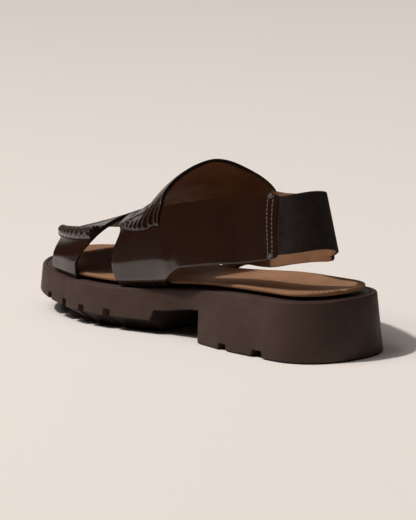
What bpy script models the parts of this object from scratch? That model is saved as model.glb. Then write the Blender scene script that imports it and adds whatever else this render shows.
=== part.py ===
"""Slingback sandal, left foot: lug outsole, insole, strap upper and elastic heel strap.

Metres, +Z up. The toe points along -Y and the outer (lateral) side of the foot is +X.
Every shape is worked out in millimetres in the shoe's own frame (d = distance forward
from the back of the heel, w = distance towards the outer side, z = height above the
ground) and is moved to the world frame when its mesh is made.
"""

import math

import bmesh
import bpy
import numpy as np

# ---- overall sizes, mm
HEEL_BACK = 3.0
TOE_TIP = 267.0
HEEL_ROUND = (32.0, 2.4)
TOE_ROUND = (55.0, 2.1)
BREAST = 98.5
FLARE = (3.0, 1.6)
RIM_HEEL = 33.6
RIM_FORE = 25.4
RIM_BACK_RISE = 1.4
TOE_SPRING = 2.7
WORLD_SHIFT = (1.044, 134.295)

# ---- insole and upper sizes, mm
INSOLE_INSET = 6.3
INSOLE_UNDER = 2.2
INSOLE_THICK = 2.2
INSOLE_PAD_INSET = 18.0
STRAP_INSET = 3.3
STRAP_WALL = 2.0
TURN_UNDER = 8.5
MID_REAR_PULL = 4.5
ELASTIC_TUCK = (0.25, 0.8)
GAP = 0.3
SIDE_COLUMNS = (90, 87.5, 84.5, 81, 76.5, 71, 64.3, 57.9, 51.4, 45)
CROWN_COLUMNS = 14
WALL_ANGLE = 60.0
WALL_LEAN = 0.12
WALL_TURN_IN = 7.0
BAR_COLUMNS = (14, 17)
QUARTER_OUTER_ROOT = (2, 8)
QUARTER_INNER_ROOT = (0, 8)

# half widths of the sole rim: distance forward, outer side, inner side
RIM_WIDTHS = (
    (3, 33.5, 33.5), (45, 34.5, 33.3), (75, 35.8, 32.4), (105, 33.6, 30.4), (137, 37.2, 32.8),
    (166, 45.1, 39.2), (195, 48.6, 45.6), (221, 44.6, 46.6), (247, 43.4, 46.6), (267, 43.0, 46.0),
)
# arch of the upper: distance forward, crest height, crest offset to the outer side, then half
# width and height of the widest place on the outer and on the inner side, and its roundness
ARCH = (
    (112, 99.5, -6, 41.0, 72.5, 43.4, 72.5, 1.70), (128, 100.2, -6, 41.4, 72.0, 43.4, 72.0, 1.70),
    (137, 97.0, -6, 42.8, 64.0, 44.0, 64.5, 1.72), (147, 85.0, -6, 43.7, 58.2, 44.6, 58.6, 1.76),
    (157, 78.6, -6, 44.6, 53.2, 45.2, 54.2, 1.80), (168, 72.2, -6, 45.2, 47.8, 45.2, 49.3, 1.85),
    (187, 64.6, -5, 46.1, 42.2, 45.0, 43.7, 2.00), (205, 58.6, -4, 45.4, 38.0, 45.8, 39.0, 2.15),
    (222, 53.6, -3, 42.4, 35.5, 44.6, 36.5, 2.20), (238, 49.2, -2, 38.6, 34.0, 41.2, 34.5, 2.20),
    (252, 45.6, 0, 33.6, 32.6, 35.6, 32.6, 2.10),
)
# edges of the bands over the cross-section angle (-90 outer base, 0 crest, 90 inner base)
TOE_FRONT = (
    (-90, 229), (-75, 229), (-60, 228), (-48, 227.5), (-38, 230), (-30, 236), (-21, 244), (-10, 248.5), (0, 249.5),
    (12, 248.5), (25, 245), (40, 239), (60, 236), (90, 236),
)
TOE_REAR = (
    (-90, 201), (-60, 197), (-50, 192), (-38, 189.5), (-26, 189.5), (-13, 190.5), (0, 191), (7, 191.5),
    (16, 194), (26, 197), (38, 200), (50, 203.5), (60, 207), (90, 210),
)
MID_FRONT = (
    (-90, 163.5), (-75, 164.5), (-62, 163.5), (-52, 160.5), (-44, 163), (-36, 170.5), (-28, 175), (-20, 179),
    (-13, 181.5), (0, 181.5), (7, 177.5), (14, 168.5), (24, 164.5), (34, 162.5), (44, 161), (52, 160.5),
    (62, 161.5), (75, 163), (90, 158.5),
)
MID_REAR = (
    (-90, 129), (-87.5, 122), (-84.5, 116), (-80, 117), (-72, 122), (-60, 126), (-51, 125), (-45, 127.5), (-38, 130), (-28, 132), (-14, 133), (0, 133),
    (14, 132), (28, 130), (38, 126), (45, 122), (51, 119.5), (60, 121), (75, 132), (90, 146),
)
# quarter straps, from the mid band back to the seam: forward, top height, top side, low height, low side
QUARTER_OUTER = (
    (126, 77.6, 40.6, 37.0, 42.4), (104, 82.4, 36.6, 43.6, 40.4), (88, 85.4, 32.8, 48.6, 36.8),
    (71, 87.4, 28.5, 50.8, 32.6), (54, 91.2, 24.2, 54.0, 28.6), (42, 92.6, 20.6, 56.6, 26.0),
)
QUARTER_INNER = (
    (121, 76.6, 43.0, 34.0, 31.0), (98, 79.0, 39.6, 33.8, 32.4), (80, 81.6, 33.0, 39.2, 29.0),
    (65, 84.2, 25.8, 43.6, 24.8), (55, 86.0, 20.4, 46.4, 21.4), (42, 88.2, 14.0, 49.4, 17.8),
)
# elastic round the back: share of the way, top (side, forward, height), low (side, forward, height)
ELASTIC = (
    (0.00, 22.8, 50.0, 89.8, 27.6, 49.0, 56.8), (0.12, 20.6, 42.0, 90.8, 25.8, 40.0, 58.2),
    (0.28, 16.6, 35.2, 92.4, 21.4, 29.2, 60.0), (0.50, 4.0, 30.6, 93.4, 4.0, 22.0, 61.2),
    (0.72, -9.2, 34.6, 90.8, -12.8, 28.8, 57.0), (0.88, -14.0, 42.0, 87.2, -18.0, 40.0, 52.0),
    (1.00, -17.8, 50.0, 85.0, -20.6, 49.0, 49.6),
)
# notches in the edge of the tread: side (1 outer, -1 inner), forward, width, height of the roof
NOTCHES = (
    (1, 73.8, 8.0, 4.2), (1, 44.0, 10.0, 4.6), (-1, 86.0, 5.4, 3.8), (-1, 66.7, 7.4, 4.2), (-1, 47.6, 10.4, 4.6),
    (1, 169.2, 6.6, 12.4), (1, 190.0, 6.2, 12.4), (1, 208.4, 6.0, 13.2), (1, 228.0, 6.0, 14.2),
    (-1, 166.0, 6.6, 12.4), (-1, 187.0, 6.2, 12.4), (-1, 207.0, 6.0, 13.2), (-1, 229.0, 6.0, 14.2),
)


def smooth(table, at, column=1):
    """Smooth curve through one column of a table, held flat past both ends."""
    keys = np.array([row[0] for row in table], float)
    vals = np.array([row[column] for row in table], float)
    if keys[0] > keys[-1]:
        keys, vals = keys[::-1], vals[::-1]
    slope = np.gradient(vals, keys)
    at = np.clip(np.asarray(at, float), keys[0], keys[-1])
    i = np.clip(np.searchsorted(keys, at) - 1, 0, len(keys) - 2)
    run = keys[i + 1] - keys[i]
    s = (at - keys[i]) / run
    return ((2 * s**3 - 3 * s**2 + 1) * vals[i] + (s**3 - 2 * s**2 + s) * run * slope[i]
            + (3 * s**2 - 2 * s**3) * vals[i + 1] + (s**3 - s**2) * run * slope[i + 1])


def step(low, high, at):
    s = np.clip((at - low) / (high - low), 0.0, 1.0)
    return s * s * (3 - 2 * s)


def rim_height(d):
    """Height of the flat top face of the sole at distance d."""
    drop = 1 - step(55, 175, d)
    back = np.clip((55 - d) / 55, 0, 1)
    toe = np.clip((d - 200) / 67, 0, 1)
    return RIM_FORE + (RIM_HEEL - RIM_FORE) * drop + RIM_BACK_RISE * back + TOE_SPRING * toe**2


def rounding(d, grow=0.0):
    """Share of the full width that is left near the two rounded ends."""
    share = 1.0
    for from_end, (depth, power) in ((d - HEEL_BACK + grow, HEEL_ROUND), (TOE_TIP + grow - d, TOE_ROUND)):
        r = np.clip(1 - from_end / (depth + grow), 0, 1)
        share = share * np.maximum(1 - r**power, 0) ** (1 / power)
    return share


def half_width(d, side, grow=0.0):
    """Half width of the rim outline on one side, moved outwards by grow."""
    full = smooth(RIM_WIDTHS, d, 1 if side > 0 else 2) + grow
    return full * rounding(d, grow)


def end_stations(first, last, count):
    """Stations that crowd towards both ends, where the outline turns."""
    s = np.linspace(0, 1, count)
    return first + (last - first) * (0.55 * s + 0.45 * (1 - np.cos(math.pi * s)) / 2)


def to_world(points):
    """Millimetres (w outer, d forward, z) to metres, toe along -Y, outer side +X."""
    p = np.asarray(points, float)
    return np.column_stack([p[:, 0] - WORLD_SHIFT[0], WORLD_SHIFT[1] - p[:, 1], p[:, 2]]) / 1000.0


def material(name, colour, roughness):
    made = bpy.data.materials.new(name)
    made.use_nodes = True
    shader = made.node_tree.nodes["Principled BSDF"]
    shader.inputs["Base Color"].default_value = (*colour, 1.0)
    shader.inputs["Roughness"].default_value = roughness
    made.diffuse_color = (*colour, 1.0)
    return made


def make_object(name, points, faces, home, look=None):
    mesh = bpy.data.meshes.new(name)
    mesh.from_pydata([tuple(p) for p in to_world(points)], [], faces)
    mesh.validate()
    bm = bmesh.new()
    bm.from_mesh(mesh)
    bmesh.ops.remove_doubles(bm, verts=bm.verts, dist=1e-6)
    bmesh.ops.recalc_face_normals(bm, faces=bm.faces)
    bm.to_mesh(mesh)
    bm.free()
    obj = bpy.data.objects.new(name, mesh)
    home.objects.link(obj)
    if look:
        mesh.materials.append(look)
    return obj


def loft(sections):
    """Closed solid through equal rings of points, with a flat face at each end."""
    count = len(sections[0])
    points = np.vstack(sections)
    faces = []
    for r in range(len(sections) - 1):
        a, b = r * count, (r + 1) * count
        faces += [(a + i, a + (i + 1) % count, b + (i + 1) % count, b + i) for i in range(count)]
    faces.append(tuple(range(count))[::-1])
    faces.append(tuple(range(len(points) - count, len(points))))
    return points, faces


def tread_height(d):
    """Height of the middle of the tread: flat under heel and ball, then the toe spring."""
    return 9.5 * np.clip((d - 204) / 63, 0, 1) ** 1.7 + 1.2 * (1 - step(136, 150, d)) * (d > BREAST)


def edge_height(d):
    """Height of the tread at the side wall, where the lugs are rounded off."""
    return 7.8 + 0.6 * step(180, 205, d) + 3.4 * step(200, 262, d)


def waist_height(d):
    return 18.8 - 4.4 * step(100, 136, d)


def outline_point(d, side):
    """Rim point on one side and the outward direction there, in plan."""
    here = float(half_width(d, side))
    e = 0.02
    lo, hi = max(d - e, HEEL_BACK + 0.001), min(d + e, TOE_TIP - 0.001)
    run = float(half_width(hi, side)) - float(half_width(lo, side))
    out = np.array([hi - lo, -run])
    return np.array([here, d]), out / np.linalg.norm(out)


def sole_section(d, low, inner):
    """Ring of points across the sole; low is the tread at the wall, inner is its middle."""
    z = float(rim_height(d))
    flare = FLARE[1] + (FLARE[0] - FLARE[1]) * float(1 - step(30, 130, d))
    halves = []
    for side in (1, -1):
        rim, out = outline_point(d, side)
        mix = min(1.0, rim[0] / 14.0)
        bevel, reach = 0.9, 11.0
        foot = rim + out * flare

        def at(base, move, height, cut=1.0):
            p = base - out * move
            return (side * max(p[0], 0.02 * base[0]), p[1], height)

        halves.append([
            at(rim, bevel * mix, z), at(rim, 0, z - bevel), at(foot, 0, low + 1.4), at(foot, 0.8 * mix, low),
            at(foot, reach * mix, inner), (side * 0.5 * max(foot[0] - reach, 0.3 * foot[0]), d, inner),
        ])
    back, front = halves
    top = [(0.3 * back[0][0], d, z), (0.6 * back[0][0], d, z)]
    far = [(0.6 * front[0][0], d, z), (0.3 * front[0][0], d, z)]
    return np.array(back + front[::-1] + far + [(0.0, d, z)] + top)


def box_points(side, d, width, roof, depth=24.0):
    """Wedge that opens outwards from the tread: one notch of the edge."""
    wall = float(half_width(d, side, 0.0)) + 6.0
    inner, floor = wall - depth, -4.0
    half = width / 2
    corners = []
    for w, h in ((wall, half), (inner, half * 0.8)):
        for z, share in ((floor, 1.25), (roof, 0.8)):
            corners.append([(side * w, d - h * share, z), (side * w, d + h * share, z)])
    return [p for pair in corners for p in pair]


def build_outsole(home, helpers):
    heel = HEEL_BACK + 0.04 + (60 - HEEL_BACK) * (1 - np.cos(np.linspace(0, 1, 20)[:-1] * math.pi / 2))
    stations = [(d, 0.25, 0.0) for d in heel]
    stations += [(d, 0.25, 0.0) for d in np.linspace(60, BREAST, 7)]
    stations += [(d, float(waist_height(d)), float(waist_height(d))) for d in np.linspace(BREAST + 0.2, 136, 8)]
    toe = TOE_TIP - 0.05 - (TOE_TIP - 0.05 - 139) * (1 - np.sin(np.linspace(0, 1, 34) * math.pi / 2)) ** 1.0
    stations += [(d, float(edge_height(d)), float(tread_height(d))) for d in toe]
    rings = [sole_section(d, low, inner) for d, low, inner in stations]
    points, faces = loft(rings)
    sole = make_object("outsole", points, faces, home, material("rubber", (0.052, 0.032, 0.026), 0.55))
    points, faces = [], []
    for side, d, width, roof in NOTCHES:
        base = len(points)
        points += box_points(side, d, width, roof)
        faces += [tuple(base + i for i in face) for face in (
            (0, 1, 3, 2), (4, 6, 7, 5), (0, 2, 6, 4), (1, 5, 7, 3), (0, 4, 5, 1), (2, 3, 7, 6))]
    cutter = make_object("notch_cutter", points, faces, helpers)
    cutter.hide_render = True
    cutter.display_type = "WIRE"
    cut = sole.modifiers.new("notches", "BOOLEAN")
    cut.operation, cut.solver, cut.object = "DIFFERENCE", "EXACT", cutter


def dish(d, share):
    """Hollow of the footbed under the heel and the ball."""
    heel = 1.6 * math.exp(-((d - 42) / 30) ** 2)
    ball = 0.9 * math.exp(-((d - 190) / 34) ** 2)
    return (heel + ball) * (1 - share * share)


def build_insole(home):
    first, last = HEEL_BACK + INSOLE_INSET + 0.05, TOE_TIP - INSOLE_INSET - 0.05
    rings = []
    for d in end_stations(first, last, 46):
        z = float(rim_height(d))
        under, top = z + INSOLE_UNDER, z + INSOLE_UNDER + INSOLE_THICK
        wide = [float(half_width(d, s, -INSOLE_INSET)) for s in (1, -1)]
        pad = [max(0.35 * w, w - (INSOLE_PAD_INSET - INSOLE_INSET)) for w in wide]
        inside = 40 < d < 238
        low = z + GAP if inside or min(wide) > 20 else under - 0.2
        e = 0.7 * min(1.0, min(wide) / 8)
        ring = [(wide[0], d, under + e), (wide[0] - e, d, under), (pad[0], d, under), (pad[0] - 0.1, d, low),
                (0.0, d, low), (-pad[1] + 0.1, d, low), (-pad[1], d, under), (-wide[1] + e, d, under),
                (-wide[1], d, under + e), (-wide[1], d, top - e), (-wide[1] + e, d, top)]
        for share in (-0.8, -0.5, -0.2, 0.2, 0.5, 0.8):
            ring.append((share * (wide[0] if share > 0 else wide[1]), d, top - dish(d, share)))
        ring += [(wide[0] - e, d, top), (wide[0], d, top - e)]
        rings.append(np.array(ring))
    points, faces = loft(rings)
    make_object("insole", points, faces, home, material("tan_leather", (0.24, 0.13, 0.075), 0.6))


def arch_point(d, angle):
    """Point of the upper's outer face at distance d and cross-section angle in degrees."""
    outer = angle < 0
    side = 1 if outer else -1
    crest, shift = float(smooth(ARCH, d, 1)), side * float(smooth(ARCH, d, 2))
    wide, at = float(smooth(ARCH, d, 3 if outer else 5)), float(smooth(ARCH, d, 4 if outer else 6))
    power = 2 / float(smooth(ARCH, d, 7))
    turn = abs(angle)
    if turn <= WALL_ANGLE:
        phi = math.radians(turn * 90 / WALL_ANGLE)
        reach = shift + (wide - shift) * math.sin(phi) ** power
        return np.array([side * reach, d, at + (crest - at) * max(math.cos(phi), 0.0) ** power])
    low = (turn - WALL_ANGLE) / (90 - WALL_ANGLE)
    base = float(half_width(d, side)) - STRAP_INSET
    foot = float(rim_height(d)) + 5.0
    tall = at - foot
    turn_in = 2 + (WALL_TURN_IN - 2) * float(step(6, 36, tall)) if outer else 1.8
    lean = WALL_LEAN * tall * low * (1 - low**6) if outer else 0.0
    return np.array([side * (wide + (base - wide) * low**turn_in + lean), d, at - tall * low])


def base_path(d, side, pull=0.0):
    """Outer and wall-side points of the foot of a band: turned under (pull rounds its corner), then up the side."""
    w = float(half_width(d, side)) - STRAP_INSET
    outer = ((w - TURN_UNDER, 0.2), (w - 2.2, 0.2), (w - 0.6, 0.9), (w, 2.6))
    inner = ((w - TURN_UNDER, 1.9), (w - 3.3, 1.9), (w - 2.45, 2.5), (w - STRAP_WALL, 3.6))
    ahead = (pull, 0.85 * pull, 0.4 * pull, 0.0)
    return tuple([np.array([side * a, d + e, float(rim_height(d + e)) + b]) for (a, b), e in zip(path, ahead)]
                 for path in (outer, inner))


class Shell:
    """Sheet of quads with an outer face, a matching wall-side face and shared corners."""

    def __init__(self):
        self.outer, self.fixed, self.quads = [], {}, []

    def add(self, point, inner=None):
        self.outer.append(np.asarray(point, float))
        if inner is not None:
            self.fixed[len(self.outer) - 1] = np.asarray(inner, float)
        return len(self.outer) - 1

    def strip(self, rows):
        for a, b in zip(rows[:-1], rows[1:]):
            self.quads += [(a[i], a[i + 1], b[i + 1], b[i]) for i in range(len(a) - 1)]

    def solid(self, wall):
        points = np.array(self.outer)
        normals = np.zeros_like(points)
        for q in self.quads:
            n = np.cross(points[q[2]] - points[q[0]], points[q[3]] - points[q[1]])
            n /= max(np.linalg.norm(n), 1e-9)
            for i in q:
                normals[i] += n
        normals /= np.maximum(np.linalg.norm(normals, axis=1, keepdims=True), 1e-9)
        inner = points + normals * wall
        for i, p in self.fixed.items():
            inner[i] = p
        count = len(points)
        faces = [q[::-1] for q in self.quads] + [tuple(i + count for i in q) for q in self.quads]
        seen = {}
        for q in self.quads:
            for i in range(4):
                seen[(q[i], q[(i + 1) % 4])] = True
        for a, b in seen:
            if (b, a) not in seen:
                faces.append((a, b, b + count, a + count))
        return np.vstack([points, inner]), faces


def column_angles():
    """Cross-section angles of the columns, closer together where the wall turns in at its foot."""
    side = np.array(SIDE_COLUMNS[:-1], float)
    return np.concatenate([-side, np.linspace(-45, 45, CROWN_COLUMNS + 1), side[::-1]])


def band_rows(shell, front, rear, count, pull=0.0):
    """Rows of one band from its front edge to its rear edge, feet included."""
    angles = column_angles()
    rows = []
    for r in range(count + 1):
        s = r / count
        row = []
        ds = [float(smooth(front, a) * (1 - s) + smooth(rear, a) * s) for a in angles]
        outer, inner = base_path(ds[0], 1, pull * s**3)
        row += [shell.add(o, i) for o, i in zip(outer, inner)]
        row += [shell.add(arch_point(d, a)) for a, d in zip(angles, ds)]
        outer, inner = base_path(ds[-1], -1, pull * s**3)
        row += [shell.add(o, i) for o, i in zip(outer[::-1], inner[::-1])]
        rows.append(row)
    shell.strip(rows)
    return rows


def quarter(shell, root, table, side, count):
    """Strap from the side of the mid band back to the seam; root runs from low to high."""
    rows = [root]
    start, end = table[0][0], table[-1][0]
    shares = np.linspace(0, 1, len(root))
    base = np.array([shell.outer[i] for i in root])
    for r in range(1, count + 1):
        s = r / count
        d = start + (end - start) * s
        high, low = ((side * float(smooth(table, d, 2)), float(smooth(table, d, 1))),
                     (side * float(smooth(table, d, 4)), float(smooth(table, d, 3))))
        blend = float(step(0, 0.45, s))
        row = []
        for k, u in enumerate(shares):
            bow = 1.1 * math.sin(math.pi * u)
            target = np.array([low[0] + (high[0] - low[0]) * u + side * bow, d, low[1] + (high[1] - low[1]) * u])
            along = base[k] + np.array([0, d - start, 0])
            along[0] += target[0] - (side * (float(smooth(table, start, 4)) * (1 - u)
                                             + float(smooth(table, start, 2)) * u) + side * bow)
            along[2] += target[2] - (float(smooth(table, start, 3)) * (1 - u) + float(smooth(table, start, 1)) * u)
            mixed = along * (1 - blend) + target * blend
            mixed[1] = base[k][1] + (end - 3.5 * (1 - u) - base[k][1]) * s
            row.append(shell.add(mixed))
        rows.append(row)
    shell.strip(rows if side > 0 else [row[::-1] for row in rows])


def build_upper(home):
    shell = Shell()
    toe = band_rows(shell, TOE_FRONT, TOE_REAR, 5)
    mid = band_rows(shell, MID_FRONT, MID_REAR, 9, MID_REAR_PULL)
    low, high = BAR_COLUMNS[0] + 4, BAR_COLUMNS[1] + 4
    angles = column_angles()[BAR_COLUMNS[0]:BAR_COLUMNS[1] + 1]
    bar = [toe[-1][low:high + 1]]
    for s in (0.5,):
        bar.append([shell.add(arch_point(float(smooth(TOE_REAR, a) * (1 - s) + smooth(MID_FRONT, a) * s), a))
                    for a in angles])
    bar.append(mid[0][low:high + 1])
    shell.strip(bar)
    outer_root = mid[-1][4 + QUARTER_OUTER_ROOT[0]:5 + QUARTER_OUTER_ROOT[1]]
    inner_root = mid[-1][::-1][4 + QUARTER_INNER_ROOT[0]:5 + QUARTER_INNER_ROOT[1]]
    quarter(shell, outer_root, QUARTER_OUTER, 1, 12)
    quarter(shell, inner_root, QUARTER_INNER, -1, 12)
    points, faces = shell.solid(STRAP_WALL)
    make_object("upper", points, faces, home, material("dark_leather", (0.035, 0.016, 0.011), 0.3))


def build_elastic(home):
    shell = Shell()
    rows = []
    wall = 1.6
    for s in np.linspace(0, 1, 29):
        row = []
        top = np.array([float(smooth(ELASTIC, s, c)) for c in (1, 2, 3)])
        low = np.array([float(smooth(ELASTIC, s, c)) for c in (4, 5, 6)])
        for u in np.linspace(0, 1, 6):
            row.append(shell.add(low + (top - low) * u))
        rows.append(row)
    shell.strip([row[::-1] for row in rows])
    points = np.array(shell.outer)
    normals = np.zeros_like(points)
    for q in shell.quads:
        n = np.cross(points[q[2]] - points[q[0]], points[q[3]] - points[q[1]])
        normals[list(q)] += n / max(np.linalg.norm(n), 1e-9)
    normals /= np.linalg.norm(normals, axis=1, keepdims=True)
    per = len(rows[0])
    for r in range(len(rows)):
        s = r / (len(rows) - 1)
        ends = 1 - float(step(0.13, 0.2, s) * (1 - step(0.8, 0.87, s)))
        behind = ELASTIC_TUCK[0] if s < 0.5 else ELASTIC_TUCK[1]
        for k in range(per):
            i = rows[r][k]
            bow = 1.0 * math.sin(math.pi * k / (per - 1))
            shell.outer[i] = points[i] + normals[i] * (0.5 + (behind - bow - 0.5) * ends)
    points, faces = shell.solid(wall)
    make_object("heel_elastic", points, faces, home, material("elastic", (0.03, 0.024, 0.022), 0.85))


def main():
    for obj in list(bpy.data.objects):
        bpy.data.objects.remove(obj, do_unlink=True)
    scene = bpy.context.scene
    home = bpy.data.collections.new("slingback_sandal")
    helpers = bpy.data.collections.new("cutters")
    scene.collection.children.link(home)
    scene.collection.children.link(helpers)
    build_outsole(home, helpers)
    build_insole(home)
    build_upper(home)
    build_elastic(home)


main()
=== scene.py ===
import math

import bmesh
import bpy
import numpy as np
from mathutils import Matrix, Vector


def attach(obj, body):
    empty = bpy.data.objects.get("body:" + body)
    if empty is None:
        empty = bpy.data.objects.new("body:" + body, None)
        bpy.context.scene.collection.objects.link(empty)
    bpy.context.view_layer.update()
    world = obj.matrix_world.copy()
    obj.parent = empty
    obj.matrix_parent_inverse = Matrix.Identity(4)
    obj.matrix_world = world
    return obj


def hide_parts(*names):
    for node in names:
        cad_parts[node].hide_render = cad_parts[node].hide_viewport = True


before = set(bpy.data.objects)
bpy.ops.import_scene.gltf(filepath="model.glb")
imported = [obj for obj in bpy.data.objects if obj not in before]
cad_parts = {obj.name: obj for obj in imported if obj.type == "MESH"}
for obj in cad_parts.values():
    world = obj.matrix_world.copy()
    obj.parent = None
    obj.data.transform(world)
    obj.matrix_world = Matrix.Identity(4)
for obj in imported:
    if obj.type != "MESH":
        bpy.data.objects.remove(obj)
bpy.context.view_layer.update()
print("frame loaded")

# All shapes are worked out in millimetres: w towards the outer side, d forward from the heel, z up.
shoe = {
    "heelBack": 3.0, "toeTip": 267.0, "heelRound": (32.0, 2.4), "toeRound": (55.0, 2.1), "breast": 98.5,
    "flare": (3.0, 1.6), "rimHeel": 33.6, "rimFore": 25.4, "rimBackRise": 1.4, "toeSpring": 2.7,
    "slopeFrom": 55.0, "slopeTo": 175.0, "springFrom": 200.0, "shift": (1.044, 134.295),
    # forward, outer half width, inner half width
    "rimWidths": (
        (3, 33.5, 33.5), (45, 34.5, 33.3), (75, 35.8, 32.4), (105, 33.6, 30.4), (137, 37.2, 32.8),
        (166, 45.1, 39.2), (195, 48.6, 45.6), (221, 44.6, 46.6), (247, 43.4, 46.6), (267, 43.0, 46.0),
    ),
}
quarterTurn = np.radians((0, 30, 60, 90))


def smooth(table, at, column=1):
    keys = np.array([row[0] for row in table], float)
    vals = np.array([row[column] for row in table], float)
    if keys[0] > keys[-1]:
        keys, vals = keys[::-1], vals[::-1]
    slope = np.gradient(vals, keys)
    at = np.clip(np.asarray(at, float), keys[0], keys[-1])
    i = np.clip(np.searchsorted(keys, at) - 1, 0, len(keys) - 2)
    run = keys[i + 1] - keys[i]
    s = (at - keys[i]) / run
    return ((2 * s**3 - 3 * s**2 + 1) * vals[i] + (s**3 - 2 * s**2 + s) * run * slope[i]
            + (3 * s**2 - 2 * s**3) * vals[i + 1] + (s**3 - s**2) * run * slope[i + 1])


def step(low, high, at):
    s = np.clip((np.asarray(at, float) - low) / (high - low), 0.0, 1.0)
    return s * s * (3 - 2 * s)


def rimHeight(d):
    d = np.asarray(d, float)
    toe = np.clip((d - shoe["springFrom"]) / (shoe["toeTip"] - shoe["springFrom"]), 0, 1)
    back = np.clip((shoe["slopeFrom"] - d) / shoe["slopeFrom"], 0, 1)
    slope = 1 - step(shoe["slopeFrom"], shoe["slopeTo"], d)
    return (shoe["rimFore"] + (shoe["rimHeel"] - shoe["rimFore"]) * slope
            + shoe["rimBackRise"] * back + shoe["toeSpring"] * toe**2)


def halfWidth(d, side, grow=0.0):
    d = np.asarray(d, float)
    outer, inner = (smooth(shoe["rimWidths"], d, column) for column in (1, 2))
    full = np.where(np.asarray(side) > 0, outer, inner) + grow
    share = 1.0
    for fromEnd, (depth, power) in ((d - shoe["heelBack"] + grow, shoe["heelRound"]),
                                    (shoe["toeTip"] + grow - d, shoe["toeRound"])):
        r = np.clip(1 - fromEnd / (depth + grow), 0, 1)
        share = share * np.maximum(1 - r**power, 0) ** (1 / power)
    return full * share


def outlinePoint(d, side, grow=0.0):
    first, last = shoe["heelBack"] - grow, shoe["toeTip"] + grow
    if d <= first + 1e-6 or d >= last - 1e-6:
        return np.array([0.0, d]), np.array([0.0, -1.0 if d <= first + 1e-6 else 1.0])
    nearby = 0.02    # the outline's direction is read between two near points
    lo, hi = max(d - nearby, first + 0.001), min(d + nearby, last - 0.001)
    run = halfWidth(hi, side, grow) - halfWidth(lo, side, grow)
    out = np.array([hi - lo, -run])
    return np.array([halfWidth(d, side, grow), d]), out / np.linalg.norm(out)


def toWorld(points):
    p = np.asarray(points, float)
    return np.column_stack([p[:, 0] - shoe["shift"][0], shoe["shift"][1] - p[:, 1], p[:, 2]]) / 1000.0


def wire(tree, node, sources):
    for key, source in sources.items():
        tree.links.new(source, node.inputs[key])


def addNode(tree, kind, settings=None, **links):
    node = tree.nodes.new(kind)
    for key, value in (settings or {}).items():
        if hasattr(node, key):
            setattr(node, key, value)
        else:
            node.inputs[key].default_value = value
    wire(tree, node, links)
    return node


def multiply(tree, first, second):
    node = addNode(tree, "ShaderNodeMath", {"operation": "MULTIPLY"})
    wire(tree, node, {0: first, 1: second})
    return node.outputs[0]


def mixColours(tree, share, first, second):
    node = tree.nodes.new("ShaderNodeMix")
    node.data_type, node.blend_type = "RGBA", "MIX"
    for place, value in ((0, share), (6, first), (7, second)):
        if isinstance(value, bpy.types.NodeSocket):
            tree.links.new(value, node.inputs[place])
        else:
            node.inputs[place].default_value = value
    return node.outputs[2]


def shareBetween(tree, source, low, high, toLow=0.0, toHigh=1.0):
    node = tree.nodes.new("ShaderNodeMapRange")
    tree.links.new(source, node.inputs[0])
    for place, value in zip((1, 2, 3, 4), (low, high, toLow, toHigh)):
        node.inputs[place].default_value = value
    return node.outputs[0]


def newMaterial(name, gloss):
    material = bpy.data.materials.new(name)
    material.use_nodes = True
    tree = material.node_tree
    shader = tree.nodes["Principled BSDF"]
    for key, value in gloss.items():
        shader.inputs[key].default_value = value
    place = addNode(tree, "ShaderNodeTexCoord").outputs["Object"]
    return material, tree, shader, place


def noise(tree, place, scale, detail=3.0):
    settings = {"Scale": scale, "Detail": detail, "Roughness": 0.55}
    return addNode(tree, "ShaderNodeTexNoise", settings, Vector=place).outputs["Fac"]


def cells(tree, place, scale):
    settings = {"feature": "DISTANCE_TO_EDGE", "Scale": scale}
    return addNode(tree, "ShaderNodeTexVoronoi", settings, Vector=place).outputs["Distance"]


def bumpNormal(tree, height, strength, distance, below=None):
    node = addNode(tree, "ShaderNodeBump", {"Strength": strength, "Distance": distance}, Height=height)
    if below is not None:
        wire(tree, node, {"Normal": below})
    return node.outputs["Normal"]


leather = {
    "dark": (0.0175, 0.0063, 0.0031, 1), "warm": (0.0255, 0.0097, 0.0050, 1), "worn": (0.05, 0.028, 0.018, 1),
    # crest: painted highlight colour for raised folds
    "crest": (0.088, 0.062, 0.053, 1),
    "gloss": {"Roughness": 0.22, "IOR": 1.5, "Coat Weight": 0.25, "Coat Roughness": 0.08, "Coat IOR": 1.5},
    "grainSize": 1600.0, "grain": 0.035, "grainDepth": 0.00006, "creases": 0.03,
}


def leatherMaterial(name, paintedHighlightShare):
    material, tree, shader, place = newMaterial(name, leather["gloss"])
    broad = shareBetween(tree, noise(tree, place, 28.0), 0.35, 0.68)
    tone = mixColours(tree, broad, leather["dark"], leather["warm"])
    fine = shareBetween(tree, noise(tree, place, 420.0, 5.0), 0.35, 0.7)
    rubbed = shareBetween(tree, noise(tree, place, 1500.0, 2.0), 0.6, 0.78, 0.0, 0.10)
    speck = mixColours(tree, rubbed, tone, leather["worn"])
    crest = tree.nodes.new("ShaderNodeNewGeometry").outputs["Pointiness"]
    # painted highlight: raised folds, found by pointiness, are painted paler with the crest colour in place
    # of the highlights they catch
    speck = mixColours(tree, shareBetween(tree, crest, 0.515, 0.61, 0.0, paintedHighlightShare), speck, leather["crest"])
    sheen = shareBetween(tree, fine, 0.0, 1.0, 0.17, 0.25)
    pores = cells(tree, place, leather["grainSize"])
    normal = bumpNormal(tree, shareBetween(tree, pores, 0.0, 0.12), leather["grain"], leather["grainDepth"])
    normal = bumpNormal(tree, noise(tree, place, 60.0, 4.0), leather["creases"], 0.0008, normal)
    wire(tree, shader, {"Base Color": speck, "Roughness": sheen, "Normal": normal})
    return material


lining = {
    "pale": (0.285, 0.150, 0.082, 1), "deep": (0.205, 0.102, 0.055, 1),
    "bedPale": (0.335, 0.180, 0.102, 1), "bedDeep": (0.265, 0.138, 0.078, 1), "fibre": (0.16, 0.075, 0.04, 1),
    "gloss": {"Roughness": 0.8, "Specular IOR Level": 0.02},
}


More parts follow.
